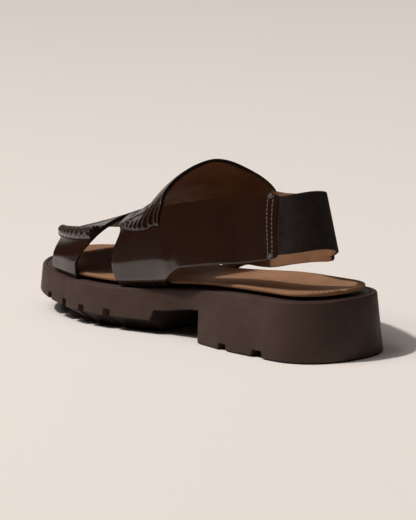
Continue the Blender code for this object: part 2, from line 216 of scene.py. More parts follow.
def liningMaterial(name, pale, deep, nap):
    material, tree, shader, place = newMaterial(name, lining["gloss"])
    stretched = addNode(tree, "ShaderNodeMapping", {"Scale": (1.0, 0.22, 1.0)}, Vector=place).outputs[0]
    cloudy = shareBetween(tree, noise(tree, place, 34.0, 4.0), 0.36, 0.66)
    fibre = shareBetween(tree, noise(tree, stretched, 520.0, 4.0), 0.35, 0.68)
    tone = mixColours(tree, cloudy, deep, pale)
    tone = mixColours(tree, shareBetween(tree, fibre, 0, 1, 0.0, 0.28), tone, lining["fibre"])
    sheen = shareBetween(tree, fibre, 0, 1, 0.52, 0.72)
    normal = bumpNormal(tree, noise(tree, place, 1300.0, 3.0), nap, 0.00015)
    normal = bumpNormal(tree, cells(tree, place, 620.0), 0.12, 0.00012, normal)
    wire(tree, shader, {"Base Color": tone, "Roughness": sheen, "Normal": normal})
    return material


rubber = {
    "base": (0.043, 0.0238, 0.0185, 1), "dusty": (0.076, 0.047, 0.0385, 1),
    # under: painted shade colour, laid on faces turned downwards
    "under": (0.006, 0.0035, 0.0028, 1), "fleck": (0.085, 0.058, 0.048, 1),
    "gloss": {"Roughness": 0.5, "Specular IOR Level": 0.14},
}


def rubberMaterial():
    material, tree, shader, place = newMaterial("mouldedRubber", rubber["gloss"])
    cloudy = shareBetween(tree, noise(tree, place, 22.0, 5.0), 0.34, 0.70)
    tone = mixColours(tree, cloudy, rubber["base"], rubber["dusty"])
    speck = shareBetween(tree, noise(tree, place, 1700.0, 2.0), 0.58, 0.75, 0.0, 0.3)
    # painted shade: faces turned downwards are painted near black in place of the shadow under the sole
    faced = addNode(tree, "ShaderNodeSeparateXYZ")
    tree.links.new(tree.nodes.new("ShaderNodeNewGeometry").outputs["Normal"], faced.inputs[0])
    down = shareBetween(tree, faced.outputs["Z"], -0.15, -0.45)
    tone = mixColours(tree, speck, tone, rubber["fleck"])
    tone = mixColours(tree, down, tone, rubber["under"])
    sheen = shareBetween(tree, noise(tree, place, 160.0, 4.0), 0.3, 0.7, 0.42, 0.6)
    normal = bumpNormal(tree, noise(tree, place, 1200.0, 3.0), 0.22, 0.00012)
    normal = bumpNormal(tree, noise(tree, place, 45.0, 3.0), 0.10, 0.0008, normal)
    wire(tree, shader, {"Base Color": tone, "Roughness": sheen, "Normal": normal})
    return material


def plainMaterial(name, colour, other, roughness, grain):
    material, tree, shader, place = newMaterial(name, {"Roughness": roughness, "Specular IOR Level": 0.12})
    mixed = mixColours(tree, shareBetween(tree, noise(tree, place, grain, 3.0), 0.35, 0.68), colour, other)
    normal = bumpNormal(tree, noise(tree, place, grain * 2.2, 3.0), 0.3, 0.00012)
    wire(tree, shader, {"Base Color": mixed, "Normal": normal})
    return material


elasticWeave = {
    "ribs": 0.0011, "picks": 0.0007, "bandScale": 0.31416,
    "gloss": {"Roughness": 0.85, "Specular IOR Level": 0.2},
    "dark": (0.0145, 0.0098, 0.0085, 1), "light": (0.052, 0.038, 0.034, 1),
}


def elasticMaterial():
    material, tree, shader, place = newMaterial("wovenElastic", elasticWeave["gloss"])
    woven = addNode(tree, "ShaderNodeUVMap", {"uv_map": "weave"}).outputs[0]

    def bands(direction, width, uneven):
        scale = elasticWeave["bandScale"] / width
        settings = {"bands_direction": direction, "Scale": scale, "Distortion": uneven}
        return addNode(tree, "ShaderNodeTexWave", settings, Vector=woven).outputs["Fac"]

    weave = multiply(tree, bands("X", elasticWeave["ribs"], 0.6), bands("Y", elasticWeave["picks"], 1.0))
    mottle = shareBetween(tree, noise(tree, place, 260.0, 4.0), 0.35, 0.7, 0.15, 1.0)
    colour = mixColours(tree, multiply(tree, weave, mottle), elasticWeave["dark"], elasticWeave["light"])
    wire(tree, shader, {"Base Color": colour, "Normal": bumpNormal(tree, weave, 0.3, 0.00012)})
    return material


# share of the painted highlight on raised folds: none on the side leather, full on the gathered top leather
glossyLeather = leatherMaterial("glossyLeather", 0.0)
gatheredLeather = leatherMaterial("gatheredLeather", 1.0)
tanLining = liningMaterial("tanLining", lining["pale"], lining["deep"], 0.35)
insoleLeather = liningMaterial("insoleLeather", lining["bedPale"], lining["bedDeep"], 0.25)
leatherEdge = plainMaterial("inkedEdge", (0.020, 0.0115, 0.008, 1), (0.032, 0.019, 0.013, 1), 0.42, 500.0)
mouldedRubber = rubberMaterial()
wovenElastic = elasticMaterial()
greyThread = plainMaterial("greyThread", (0.105, 0.084, 0.083, 1), (0.16, 0.132, 0.128, 1), 0.55, 2400.0)
brownThread = plainMaterial("brownThread", (0.014, 0.008, 0.006, 1), (0.026, 0.016, 0.012, 1), 0.4, 2400.0)
tanThread = plainMaterial("tanThread", (0.15, 0.078, 0.042, 1), (0.22, 0.125, 0.075, 1), 0.6, 2400.0)
print("materials made")


def addObject(name, data):
    thing = bpy.data.objects.new(name, data)
    bpy.context.scene.collection.objects.link(thing)
    return thing


def makePiece(name, points, faces, materials, faceMaterial=None, uv=None, world=False):
    mesh = bpy.data.meshes.new(name)
    mesh.from_pydata([tuple(p) for p in (points if world else toWorld(points))], [], faces)
    for material in materials:
        mesh.materials.append(material)
    if faceMaterial is not None:
        mesh.polygons.foreach_set("material_index", np.asarray(faceMaterial, np.int32))
    if uv is not None:
        layer = mesh.uv_layers.new(name="weave")
        corners = np.empty(len(mesh.loops), np.int32)
        mesh.loops.foreach_get("vertex_index", corners)
        layer.data.foreach_set("uv", np.asarray(uv, np.float32)[corners].ravel())
    mesh.polygons.foreach_set("use_smooth", np.ones(len(mesh.polygons), bool))
    mesh.update()
    return addObject(name, mesh)


def editMesh(piece, change):
    bm = bmesh.new()
    bm.from_mesh(piece.data)
    change(bm)
    bm.to_mesh(piece.data)
    bm.free()


def sharpen(piece, degrees):
    def change(bm):
        for edge in bm.edges:
            edge.smooth = len(edge.link_faces) == 2 and edge.calc_face_angle(0.0) < math.radians(degrees)

    editMesh(piece, change)


def roundRims(piece, width, rimSlot=2):
    def change(bm):
        rims = [e for e in bm.edges if len(e.link_faces) == 2
                and sum(face.material_index == rimSlot for face in e.link_faces) == 1]
        bmesh.ops.bevel(bm, geom=rims, offset=width, segments=2, profile=0.5, affect="EDGES",
                        clamp_overlap=True, material=rimSlot)
        for face in bm.faces:
            face.smooth = True

    editMesh(piece, change)


def turnOut(piece):
    def change(bm):
        bmesh.ops.remove_doubles(bm, verts=bm.verts, dist=1e-6)
        bmesh.ops.recalc_face_normals(bm, faces=bm.faces)

    editMesh(piece, change)


def runAlong(points):
    return np.concatenate([[0], np.cumsum(np.linalg.norm(np.diff(points, axis=0), axis=1))])


class Sheet:
    # outer face, wall side and shared corners of one piece of strap leather
    def __init__(self):
        self.points, self.fixed, self.quads, self.held = [], {}, [], set()

    def addRow(self, points, wall=None):
        start = len(self.points)
        self.points += [np.asarray(p, float) for p in points]
        ids = list(range(start, len(self.points)))
        if wall is not None:
            for i, p in zip(ids, wall):
                self.fixed[i] = np.asarray(p, float)
            self.held.update(ids)
        return ids

    def strip(self, rows):
        for a, b in zip(rows[:-1], rows[1:]):
            self.quads += [(a[i], a[i + 1], b[i + 1], b[i]) for i in range(len(a) - 1)]

    def relax(self, rounds, amount=0.5):
        points, quads = np.array(self.points), np.array(self.quads)
        pairs = np.vstack([quads[:, [k, (k + 1) % 4]] for k in range(4)])
        edges, uses = np.unique(np.sort(pairs, axis=1), axis=0, return_counts=True)
        rim = np.zeros(len(points), bool)
        rim[edges[uses == 1].ravel()] = True
        use = edges[(uses == 1) | ~(rim[edges[:, 0]] & rim[edges[:, 1]])]
        a, b = use[:, 0], use[:, 1]
        ontoA, ontoB = ~rim[a] | rim[b], ~rim[b] | rim[a]
        weight = np.bincount(a[ontoA], minlength=len(points)) + np.bincount(b[ontoB], minlength=len(points))
        free = np.ones(len(points))
        free[list(self.held)] = 0.0
        for _ in range(rounds):
            total = np.zeros_like(points)
            np.add.at(total, a[ontoA], points[b[ontoA]])
            np.add.at(total, b[ontoB], points[a[ontoB]])
            mean = total / np.maximum(weight, 1)[:, None]
            points += (mean - points) * (amount * free * (weight > 0))[:, None]
        self.points = list(points)

    def inward(self):
        points, quads = np.array(self.points), np.array(self.quads)
        n = np.cross(points[quads[:, 3]] - points[quads[:, 1]], points[quads[:, 2]] - points[quads[:, 0]])
        n /= np.maximum(np.linalg.norm(n, axis=1, keepdims=True), 1e-9)
        normals = np.zeros_like(points)
        for k in range(4):
            np.add.at(normals, quads[:, k], n)
        return normals / np.maximum(np.linalg.norm(normals, axis=1, keepdims=True), 1e-9)

    def solid(self, near, far):
        # near and far: how deep the outer and the wall side lie under the drawn surface
        points, normals = np.array(self.points), self.inward()
        outer = points + normals * np.broadcast_to(near, len(points))[:, None]
        inner = points + normals * np.broadcast_to(far, len(points))[:, None]
        for i, p in self.fixed.items():
            outer[i], inner[i] = points[i], p
        count, quads = len(points), np.array(self.quads)
        seen = {(q[i], q[(i + 1) % 4]) for q in self.quads for i in range(4)}
        caps = [(a, b, b + count, a + count) for a, b in sorted(seen) if (b, a) not in seen]
        faces = [tuple(int(i) for i in q) for q in quads[:, ::-1]]
        faces += [tuple(int(i) for i in q) for q in quads + count] + [tuple(int(i) for i in c) for c in caps]
        return np.vstack([outer, inner]), faces, [0] * len(quads) + [1] * len(quads) + [2] * len(caps)


upper = {
    "wall": 2.0, "inset": 3.3, "turnUnder": 8.5, "rearPull": 4.5, "wallAngle": 60.0,
    "lean": 0.10, "tuck": 26.0, "footTop": 2.2, "footColumns": 10,
    "toeRows": 30, "midRows": 54, "barRows": 8, "quarterRows": 64, "sinkFade": 6, "underTop": 0.85,
    "sideColumns": (90, 87.5, 84.5, 81, 76.5, 71, 64.3, 57.9, 51.4, 45), "crownColumns": 14, "finer": 5,
    "barColumns": (14, 17), "outerRoot": (2, 8), "innerRoot": (0, 8), "sink": 1.15,
    # forward, crest height and offset, outer half width and height, inner half width and height, roundness
    "arch": (
        (112, 99.5, -6, 41.0, 72.5, 43.4, 72.5, 1.70), (128, 100.2, -6, 41.4, 72.0, 43.4, 72.0, 1.70),
        (137, 97.0, -6, 42.8, 64.0, 44.0, 64.5, 1.72), (147, 85.0, -6, 43.7, 58.2, 44.6, 58.6, 1.76),
        (157, 78.6, -6, 44.6, 53.2, 45.2, 54.2, 1.80), (168, 72.2, -6, 45.2, 47.8, 45.2, 49.3, 1.85),
        (187, 64.6, -5, 46.1, 42.2, 45.0, 43.7, 2.00), (205, 58.6, -4, 45.4, 38.0, 45.8, 39.0, 2.15),
        (222, 53.6, -3, 42.4, 35.5, 44.6, 36.5, 2.20), (238, 49.2, -2, 38.6, 34.0, 41.2, 34.5, 2.20),
        (252, 45.6, 0, 33.6, 32.6, 35.6, 32.6, 2.10),
    ),
    # the fold low on the outer side: forward, its height, how far it leans in below
    "fold": (
        (112, 46.0, 0.18), (118, 45.6, 0.25), (125, 45.0, 0.30), (163, 38.6, 0.26), (190, 35.2, 0.18),
        (205, 35.6, 0.12), (252, 36.0, 0.12),
    ),
    # edges of the bands: angle round the foot (-90 outer base, 0 crest, 90 inner base), forward
    "toeFront": (
        (-90, 229), (-75, 229), (-60, 228), (-48, 227.5), (-38, 230), (-30, 236), (-21, 244), (-10, 248.5),
        (0, 249.5), (12, 248.5), (25, 245), (40, 239), (60, 236), (90, 236),
    ),
    "toeRear": (
        (-90, 201), (-60, 197), (-50, 192), (-38, 189.5), (-26, 189.5), (-13, 190.5), (0, 191), (7, 191.5),
        (16, 194), (26, 197), (38, 200), (50, 203.5), (60, 207), (90, 210),
    ),
    "midFront": (
        (-90, 163.5), (-75, 164.5), (-62, 163.5), (-52, 160.5), (-44, 163), (-36, 170.5), (-28, 175),
        (-20, 179), (-13, 181.5), (0, 181.5), (7, 177.5), (14, 168.5), (24, 164.5), (34, 162.5), (44, 161),
        (52, 160.5), (62, 161.5), (75, 163), (90, 158.5),
    ),
    "midRear": (
        (-90, 129), (-87.5, 122), (-84.5, 116), (-80, 117), (-72, 122), (-60, 126), (-51, 125), (-45, 127.5),
        (-38, 130), (-28, 132), (-14, 133), (0, 133), (14, 132), (28, 130), (38, 126), (45, 122), (51, 119.5),
        (60, 121), (75, 132), (90, 146),
    ),
    # straps back to the seam: forward, top height, top side, low height, low side
    "outerQuarter": (
        (126, 77.6, 40.6, 42.4, 43.4), (104, 82.4, 36.6, 46.4, 40.8), (88, 85.4, 32.8, 48.9, 36.9),
        (71, 87.4, 28.5, 50.8, 32.6), (54, 91.2, 24.2, 54.0, 28.6), (42, 92.6, 20.6, 56.6, 26.0),
    ),
    "innerQuarter": (
        (121, 76.6, 43.0, 34.0, 31.0), (98, 79.0, 39.6, 33.8, 32.4), (80, 81.6, 33.0, 39.2, 29.0),
        (65, 84.2, 25.8, 43.6, 24.8), (55, 86.0, 20.4, 46.4, 21.4), (42, 88.2, 14.0, 49.4, 17.8),
    ),
}


def archPoint(d, angle):
    d, angle = np.broadcast_arrays(np.asarray(d, float), np.asarray(angle, float))
    outer = angle < 0
    side = np.where(outer, 1.0, -1.0)
    crest, shift, outerWide, outerAt, innerWide, innerAt, roundness = (
        smooth(upper["arch"], d, column) for column in range(1, 8))
    shift, power = side * shift, 2 / roundness
    wide, at = np.where(outer, outerWide, innerWide), np.where(outer, outerAt, innerAt)
    turn = np.abs(angle)
    phi = np.radians(np.minimum(turn, upper["wallAngle"]) * 90 / upper["wallAngle"])
    reach = shift + (wide - shift) * np.sin(phi) ** power
    over = at + (crest - at) * np.maximum(np.cos(phi), 0) ** power
    low = np.clip((turn - upper["wallAngle"]) / (90 - upper["wallAngle"]), 0, 1)
    base, foot = halfWidth(d, side) - upper["inset"], rimHeight(d) + upper["footTop"]
    tall = at - foot
    # the outer side leans out down to a soft fold, then in, and tucks under at the very bottom
    above = np.maximum(at - smooth(upper["fold"], d, 1), 0.0)
    inLean = smooth(upper["fold"], d, 2)
    sunk = tall * low
    end = wide + upper["lean"] * above - inLean * (tall - above)
    outside = (wide + upper["lean"] * np.minimum(sunk, above) - inLean * np.maximum(sunk - above, 0.0)
               + (base - end) * low ** upper["tuck"])
    under = turn > upper["wallAngle"]
    across = np.where(under, np.where(outer, outside, wide + (base - wide) * low**1.8), reach)
    return np.stack([side * across, d, np.where(under, at - sunk, over)], axis=-1)


def footPath(d, side, pull=0.0):
    # under the insole's edge, round the corner and up the side
    w = halfWidth(d, side) - upper["inset"]
    turn = np.radians(np.linspace(15, 90, 6))
    reach, rise = upper["turnUnder"], 1.7
    outer = [(w - k, 0.2) for k in (reach, 6.5, 4.4, rise)]
    outer += [(w - rise + rise * math.sin(t), 0.2 + rise - rise * math.cos(t)) for t in turn]
    inner = [(w - k, 1.9) for k in (reach, 6.8, 5.0, 3.4)]
    inner += [(w - 3.3 + 1.3 * math.sin(t), 2.6 - 0.7 * math.cos(t)) for t in turn]
    ahead = pull * np.array((1, 0.97, 0.92, 0.85, 0.7, 0.55, 0.4, 0.25, 0.1, 0.0))
    return [[(side * a, d + e, rimHeight(d + e) + b) for (a, b), e in zip(path, ahead)]
            for path in (outer, inner)]


def columnAngles(finer):
    side = np.array(upper["sideColumns"][:-1], float)
    coarse = np.concatenate([-side, np.linspace(-45, 45, upper["crownColumns"] + 1), side[::-1]])
    at = np.arange((len(coarse) - 1) * finer + 1) / finer
    return np.interp(at, np.arange(len(coarse)), coarse)


def bandRows(sheet, front, rear, count, pull=0.0):
    angles = columnAngles(upper["finer"])
    frontAt, rearAt = smooth(front, angles), smooth(rear, angles)
    rows = []
    for r in range(count + 1):
        s = r / count
        d = frontAt * (1 - s) + rearAt * s
        outerPath, outerWall = footPath(d[0], 1, pull * s**3)
        innerPath, innerWall = footPath(d[-1], -1, pull * s**3)
        row = sheet.addRow(outerPath, outerWall) + sheet.addRow(archPoint(d, angles))
        rows.append(row + sheet.addRow(innerPath[::-1], innerWall[::-1]))
    sheet.strip(rows)
    return rows


def quarterRows(sheet, root, table, side, count):
    start, end = table[0][0], table[-1][0]
    u = np.linspace(0, 1, len(root))
    base = np.array([sheet.points[i] for i in root])
    rows = [root]
    for r in range(1, count + 1):
        s = r / count
        d = start + (end - start) * s
        bow = (0.8 + 0.8 * s) * np.sin(math.pi * u) * u
        top, topSide, low, lowSide = (smooth(table, d, c) for c in (1, 2, 3, 4))
        top0, topSide0, low0, lowSide0 = (smooth(table, start, c) for c in (1, 2, 3, 4))
        blend = step(0, 0.12, s)
        across = side * (lowSide + (topSide - lowSide) * u + bow)
        target = np.stack([across, np.full_like(u, d), low + (top - low) * u], axis=1)
        along = base.copy()
        along[:, 0] += across - side * (lowSide0 * (1 - u) + topSide0 * u + bow)
        along[:, 2] += target[:, 2] - (low0 * (1 - u) + top0 * u)
        mixed = along * (1 - blend) + target * blend
        mixed[:, 1] = base[:, 1] + (end - 3.5 * (1 - u) - base[:, 1]) * s
        rows.append(sheet.addRow(mixed))
    sheet.strip(rows if side > 0 else [row[::-1] for row in rows])
    return rows


# The top leather laps over the side leather along these lines: share of the band from its front, angle.
topLeather = {
    "thickness": 1.25, "lift": 0.30, "toeRows": 90, "barRows": 16, "midRows": 90,
    "toeSeam": ((0, -22.5), (0.12, -28), (0.35, -35), (0.65, -40), (1, -44)),
    "toeLip": (
        (-60, 243), (-40, 247), (-22, 251), (-10, 251.5), (0, 251.5), (12, 251), (22, 250),
        (40, 246), (60, 243),
    ),
    "midSeam": ((0, -40.5), (0.09, -46), (0.29, -52.5), (0.43, -55.5), (0.71, -61.5), (1, -65)),
    "toePitch": 6.6, "toeStep": 4.8, "toeRise": 2.6, "toeReach": 11.5, "toeRoll": 3.2,
    "bandLength": 60.0, "frontDip": 3.0, "dipLength": 13.0, "dipAngles": (-16, -2), "netMean": 0.35,
    "midPitch": 4.6, "midRise": 2.1, "midReach": 18.0, "netFrom": 155.0, "sideColumns": 60, "barColumns": 12,
}


def barPoints(share, angles):
    rear, front = smooth(upper["toeRear"], angles), smooth(upper["midFront"], angles)
    return archPoint(rear * (1 - share) + front * share, angles)


def addBar(sheet, first, last, count, angles):
    between = [sheet.addRow(barPoints(share, angles)) for share in np.linspace(0, 1, count + 1)[1:-1]]
    sheet.strip([first] + between + [last])
    return between


def makeUpper():
    sheet, finer = Sheet(), upper["finer"]
    toe = bandRows(sheet, upper["toeFront"], upper["toeRear"], upper["toeRows"])
    mid = bandRows(sheet, upper["midFront"], upper["midRear"], upper["midRows"], upper["rearPull"])
    angles = columnAngles(finer)
    low, high = (c * finer for c in upper["barColumns"])
    foot = upper["footColumns"]
    part = slice(foot + low, foot + high + 1)
    bar = addBar(sheet, toe[-1][part], mid[0][part], upper["barRows"], angles[low:high + 1])
    quarters = []
    for root, table, side in (("outerRoot", "outerQuarter", 1), ("innerRoot", "innerQuarter", -1)):
        a, b = (foot + c * finer for c in upper[root])
        edge = mid[-1][::side][a:b + 1]
        quarters.append(quarterRows(sheet, edge, upper[table], side, upper["quarterRows"]))
    sheet.relax(8)
    # where the top leather covers it, the side leather lies lower
    sink = np.zeros(len(sheet.points))
    lapped = ((toe, topLeather["toeSeam"], topLeather["frontDip"]), (mid, topLeather["midSeam"], 0.0))
    for rows, table, dip in lapped:
        for r, row in enumerate(rows):
            s = r / (len(rows) - 1)
            edge = -smooth(table, s)
            fromFront = topLeather["bandLength"] * s
            deep = upper["sink"] + dip * (1 - step(0, topLeather["dipLength"], fromFront))
            deep = upper["sink"] + (deep - upper["sink"]) * (1 - step(*topLeather["dipAngles"], angles))
            sink[row[foot:-foot]] = deep * step(0.5, 3.5, edge - np.abs(angles))
    for row in bar:
        sink[row] = upper["sink"]
    for rows in quarters:
        for r, row in enumerate(rows[:upper["sinkFade"]]):
            sink[row] = sink[rows[0]] * (1 - r / upper["sinkFade"])
    points, faces, kinds = sheet.solid(sink, np.maximum(upper["wall"], sink + upper["underTop"]))
    piece = makePiece("upperStraps", points, faces, (glossyLeather, tanLining, leatherEdge), kinds)
    roundRims(piece, 0.00036)
    return piece, sheet, quarters


upperStraps, strapSheet, strapRows = makeUpper()
print("upper straps", len(upperStraps.data.polygons))


def edgeDistance(points):
    fromFirst = runAlong(points)
    return np.minimum(fromFirst, fromFirst[-1] - fromFirst)


def makeTopLeather():
    sheet, size = Sheet(), topLeather
    spread = np.linspace(0, 1, size["sideColumns"] + 1) ** 1.7
    barLow, barHigh = (float(columnAngles(1)[c]) for c in upper["barColumns"])
    bars = np.linspace(barLow, barHigh, size["barColumns"] + 1)
    n = size["sideColumns"]

    def angleRow(table, s):
        seam = smooth(table, s)
        inner = (-seam + (barHigh + seam) * spread)[::-1]
        return np.concatenate([seam + (barLow - seam) * spread[:-1], bars, inner[1:]])

    def band(front, rear, table, count):
        rows, marks = [], []
        for r in range(count + 1):
            s = r / count
            angles = angleRow(table, s)
            d = smooth(front, angles) * (1 - s) + smooth(rear, angles) * s
            points = archPoint(d, angles)
            rows.append(sheet.addRow(points))
            marks.append((d, edgeDistance(points), angles))
        sheet.strip(rows)
        return rows, marks

    toe, toeMarks = band(size["toeLip"], upper["toeRear"], size["toeSeam"], size["toeRows"])
    mid, midMarks = band(upper["midFront"], upper["midRear"], size["midSeam"], size["midRows"])
    part = slice(n, n + size["barColumns"] + 1)
    addBar(sheet, toe[-1][part], mid[0][part], size["barRows"], bars)
    sheet.relax(14)
    lift = np.full(len(sheet.points), -size["lift"])

    def net(d, away):
        u, v = d / size["toePitch"], away / size["toeStep"]
        return np.maximum(np.cos(math.pi * (u + v)) ** 2, np.cos(math.pi * (u - v)) ** 2) ** 2.5

    for r, (row, (d, away, angles)) in enumerate(zip(toe, toeMarks)):
        fromFront = size["bandLength"] * r / size["toeRows"]
        dip = size["frontDip"] * (1 - step(0, size["dipLength"], fromFront))
        lift[row] += dip * step(1.5, 5.0, away) * (1 - step(*size["dipAngles"], angles))
        swell = 0.1 + 0.9 * step(0, 9, fromFront)
        fade = (1 - step(size["toeReach"] - 3.0, size["toeReach"] + 1.5, away)) * step(0.2, 1.5, away)
        roll = size["toeRoll"] * np.exp(-((away - 4.5) / 4.0) ** 2)
        lift[row] -= swell * (size["toeRise"] * (net(d, away) - size["netMean"]) * fade + roll)
        lift[row] += 1.1 * (1 - step(0.0, 1.3, away))
    for row, (d, away, _) in zip(mid, midMarks):
        bend = 0.022 * (away - 6) ** 2 * (away < 16)
        ridge = (0.5 + 0.5 * np.cos(2 * math.pi * (d - 128.0 + bend) / size["midPitch"])) ** 1.8
        netted = step(size["netFrom"] - 3, size["netFrom"] + 3, d) * np.ones_like(away)
        relief = ridge * (1 - netted) + net(d, away) * netted
        fade = (1 - step(4.0, size["midReach"], away)) * step(0.3, 1.8, away)
        fade = fade * step(125, 128, d) * (1 - step(163, 170, d))
        swell = 0.4 * np.exp(-((away - 3.0) / 3.0) ** 2)
        lift[row] -= size["midRise"] * (relief - size["netMean"]) * fade + swell
        lift[row] += 0.5 * (1 - step(0.0, 1.0, away))
    points, faces, kinds = sheet.solid(lift, size["thickness"] - size["lift"])
    piece = makePiece("topLeather", points, faces, (gatheredLeather, tanLining, leatherEdge), kinds)
    roundRims(piece, 0.0004)
    return piece, sheet, toe, mid


topPiece, topSheet, toeRows, midRows = makeTopLeather()
print("top leather", len(topPiece.data.polygons))


elastic = {
    "wall": 1.6, "tuck": (0.25, 0.8), "rows": 150, "columns": 34, "weaveHeight": 0.034,
    # share of the way round, top (side, forward, height), low (side, forward, height)
    "path": (
        (0.00, 22.8, 50.0, 89.8, 27.6, 49.0, 56.8), (0.12, 20.6, 42.0, 90.8, 25.8, 40.0, 58.2),
        (0.28, 16.6, 35.2, 92.4, 21.4, 29.2, 60.0), (0.50, 4.0, 30.6, 93.4, 4.0, 22.0, 61.2),
        (0.72, -9.2, 34.6, 90.8, -12.8, 28.8, 57.0), (0.88, -14.0, 42.0, 87.2, -18.0, 40.0, 52.0),
        (1.00, -17.8, 50.0, 85.0, -20.6, 49.0, 49.6),
    ),
}


def makeElastic():
    sheet, rows = Sheet(), []
    u = np.linspace(0, 1, elastic["columns"] + 1)
    shares = np.linspace(0, 1, elastic["rows"] + 1)
    for s in shares:
        edges = np.array([smooth(elastic["path"], s, column) for column in range(1, 7)])
        top, low = edges[:3], edges[3:]
        rows.append(sheet.addRow(low + (top - low) * u[:, None]))
    sheet.strip(rows)
    sheet.relax(6)
    depth = np.zeros(len(sheet.points))
    for s, row in zip(shares, rows):
        ends = 1 - step(0.13, 0.2, s) * (1 - step(0.8, 0.87, s))
        behind = elastic["tuck"][0] if s < 0.5 else elastic["tuck"][1]
        depth[row] = 0.5 + (behind - np.sin(math.pi * u) - 0.5) * ends
    flat = np.zeros((len(sheet.points), 2))
    length, half = 0.0, elastic["columns"] // 2
    for r, row in enumerate(rows):
        if r:
            length += float(np.linalg.norm(sheet.points[row[half]] - sheet.points[rows[r - 1][half]]))
        flat[row, 0], flat[row, 1] = length / 1000, u * elastic["weaveHeight"]
    points, faces, kinds = sheet.solid(depth, depth + elastic["wall"])
    piece = makePiece("heelElastic", points, faces, (wovenElastic, tanLining, wovenElastic), kinds,
                      uv=np.vstack([flat, flat]))
    roundRims(piece, 0.0004)
    return piece


heelElastic = makeElastic()
print("elastic", len(heelElastic.data.polygons))


outsole = {
    "ledge": 2.4, "groove": 1.1, "grooveDepth": 0.8, "rimRound": 1.2, "footRound": 1.0, "treadEdge": 11.0,
    # side (1 outer, -1 inner), forward, width, height of the roof
    "notchReach": 6.0, "notchDepth": 24.0,
    "notches": (
        (1, 73.8, 8.0, 4.2), (1, 44.0, 10.0, 4.6),
        (-1, 86.0, 5.4, 3.8), (-1, 66.7, 7.4, 4.2), (-1, 47.6, 10.4, 4.6),
        (1, 169.2, 6.6, 12.4), (1, 190.0, 6.2, 12.4), (1, 208.4, 6.0, 13.2), (1, 228.0, 6.0, 14.2),
        (-1, 166.0, 6.6, 12.4), (-1, 187.0, 6.2, 12.4), (-1, 207.0, 6.0, 13.2), (-1, 229.0, 6.0, 14.2),
    ),
}


def soleSection(d, low, inner):
    z = rimHeight(d)
    flare = shoe["flare"][1] + (shoe["flare"][0] - shoe["flare"][1]) * float(1 - step(30, 130, d))
    halves = []
    for side in (1, -1):
        rim, out = outlinePoint(d, side)
        foot = rim + out * flare
        r, f = outsole["rimRound"], outsole["footRound"]

        def at(base, move, height):
            p = base - out * move
            return (side * max(p[0], 0.02 * base[0]), p[1], height)

        lip, dip = outsole["ledge"], outsole["grooveDepth"]
        far = lip + outsole["groove"]
        ring = [at(rim, far + 0.5, z - 0.1), at(rim, far, z - dip), at(rim, lip + 0.35, z - dip),
                at(rim, lip, z - 0.15), at(rim, lip - 0.25, z)]
        ring += [at(rim, r * (1 - math.sin(t)), z - r * (1 - math.cos(t))) for t in quarterTurn]
        wall = (low + f) - (z - r)
        # the wall keeps one plane across the breast, where its foot steps up
        full = z - r - f - low * step(shoe["breast"] + 1, shoe["breast"] + 55, d)
        foot = rim + (foot - rim) * -wall / full
        for s in (0.25, 0.5, 0.75):
            ring.append(at(rim + (foot - rim) * s, 0.0, z - r + wall * s))
        ring += [at(foot, f * (1 - math.cos(t)), low + f - f * math.sin(t)) for t in quarterTurn]
        under = at(foot, outsole["treadEdge"], inner)
        ring += [under, (0.5 * under[0], under[1], inner)]
        halves.append(ring)
    back, front = halves
    top = [(k * front[0][0], front[0][1], z - 0.1) for k in (0.65, 0.3)]
    top += [(0.0, (front[0][1] + back[0][1]) / 2, z - 0.1)]
    top += [(k * back[0][0], back[0][1], z - 0.1) for k in (0.3, 0.65)]
    return np.array(back + front[::-1] + top)


def loft(rings, capped=True):
    count = len(rings[0])
    points, faces = np.vstack(rings), []
    for r in range(len(rings) - 1):
        a, b = r * count, (r + 1) * count
        faces += [(a + i, a + (i + 1) % count, b + (i + 1) % count, b + i) for i in range(count)]
    if capped:
        faces += [tuple(range(count))[::-1], tuple(range(len(points) - count, len(points)))]
    return points, faces


def makeOutsole():
    def treadHeight(d):
        spring = min(13.0 * max((d - 188) / 79, 0) ** 1.1, edgeHeight(d) - 1.5)
        return spring + 1.2 * (1 - step(136, 150, d)) * (d > shoe["breast"])

    def edgeHeight(d):
        return 7.8 + 0.6 * step(180, 205, d) + 3.4 * step(200, 262, d)

    def waistHeight(d):
        return 18.8 - 4.4 * step(100, 136, d)

    back = shoe["heelBack"] + (60 - shoe["heelBack"]) * np.linspace(0, 1, 60)[:-1] ** 3
    stations = [(d, 0.25, 0.0) for d in list(back) + list(np.linspace(60, shoe["breast"], 16))]
    stations += [(d, waistHeight(d), waistHeight(d)) for d in np.linspace(shoe["breast"] + 0.2, 136, 18)]
    front = shoe["toeTip"] - (shoe["toeTip"] - 139) * np.linspace(1, 0, 96) ** 3
    stations += [(d, edgeHeight(d), float(treadHeight(d))) for d in front]
    points, faces = loft([soleSection(*s) for s in stations], False)
    piece = makePiece("lugSole", points, faces, (mouldedRubber,))
    turnOut(piece)
    points, faces = [], []
    for side, d, width, roof in outsole["notches"]:
        base = len(points)
        wall = halfWidth(d, side) + outsole["notchReach"]
        for w, h in ((wall, width / 2), (wall - outsole["notchDepth"], width / 2 * 0.8)):
            for z, share in ((-4.0, 1.25), (roof, 0.8)):
                points += [(side * w, d - h * share, z), (side * w, d + h * share, z)]
        faces += [tuple(base + i for i in face) for face in (
            (0, 1, 3, 2), (4, 6, 7, 5), (0, 2, 6, 4), (1, 5, 7, 3), (0, 4, 5, 1), (2, 3, 7, 6))]
    cutter = makePiece("notchCutter", points, faces, ())
    turnOut(cutter)
    cut = piece.modifiers.new("notches", "BOOLEAN")
    cut.operation, cut.solver, cut.object = "DIFFERENCE", "EXACT", cutter
    graph = bpy.context.evaluated_depsgraph_get()
    mesh = bpy.data.meshes.new_from_object(piece.evaluated_get(graph))
    piece.modifiers.clear()
    piece.data = mesh
    bpy.data.objects.remove(cutter)
    mesh.polygons.foreach_set("use_smooth", np.ones(len(mesh.polygons), bool))
    sharpen(piece, 38)
    return piece


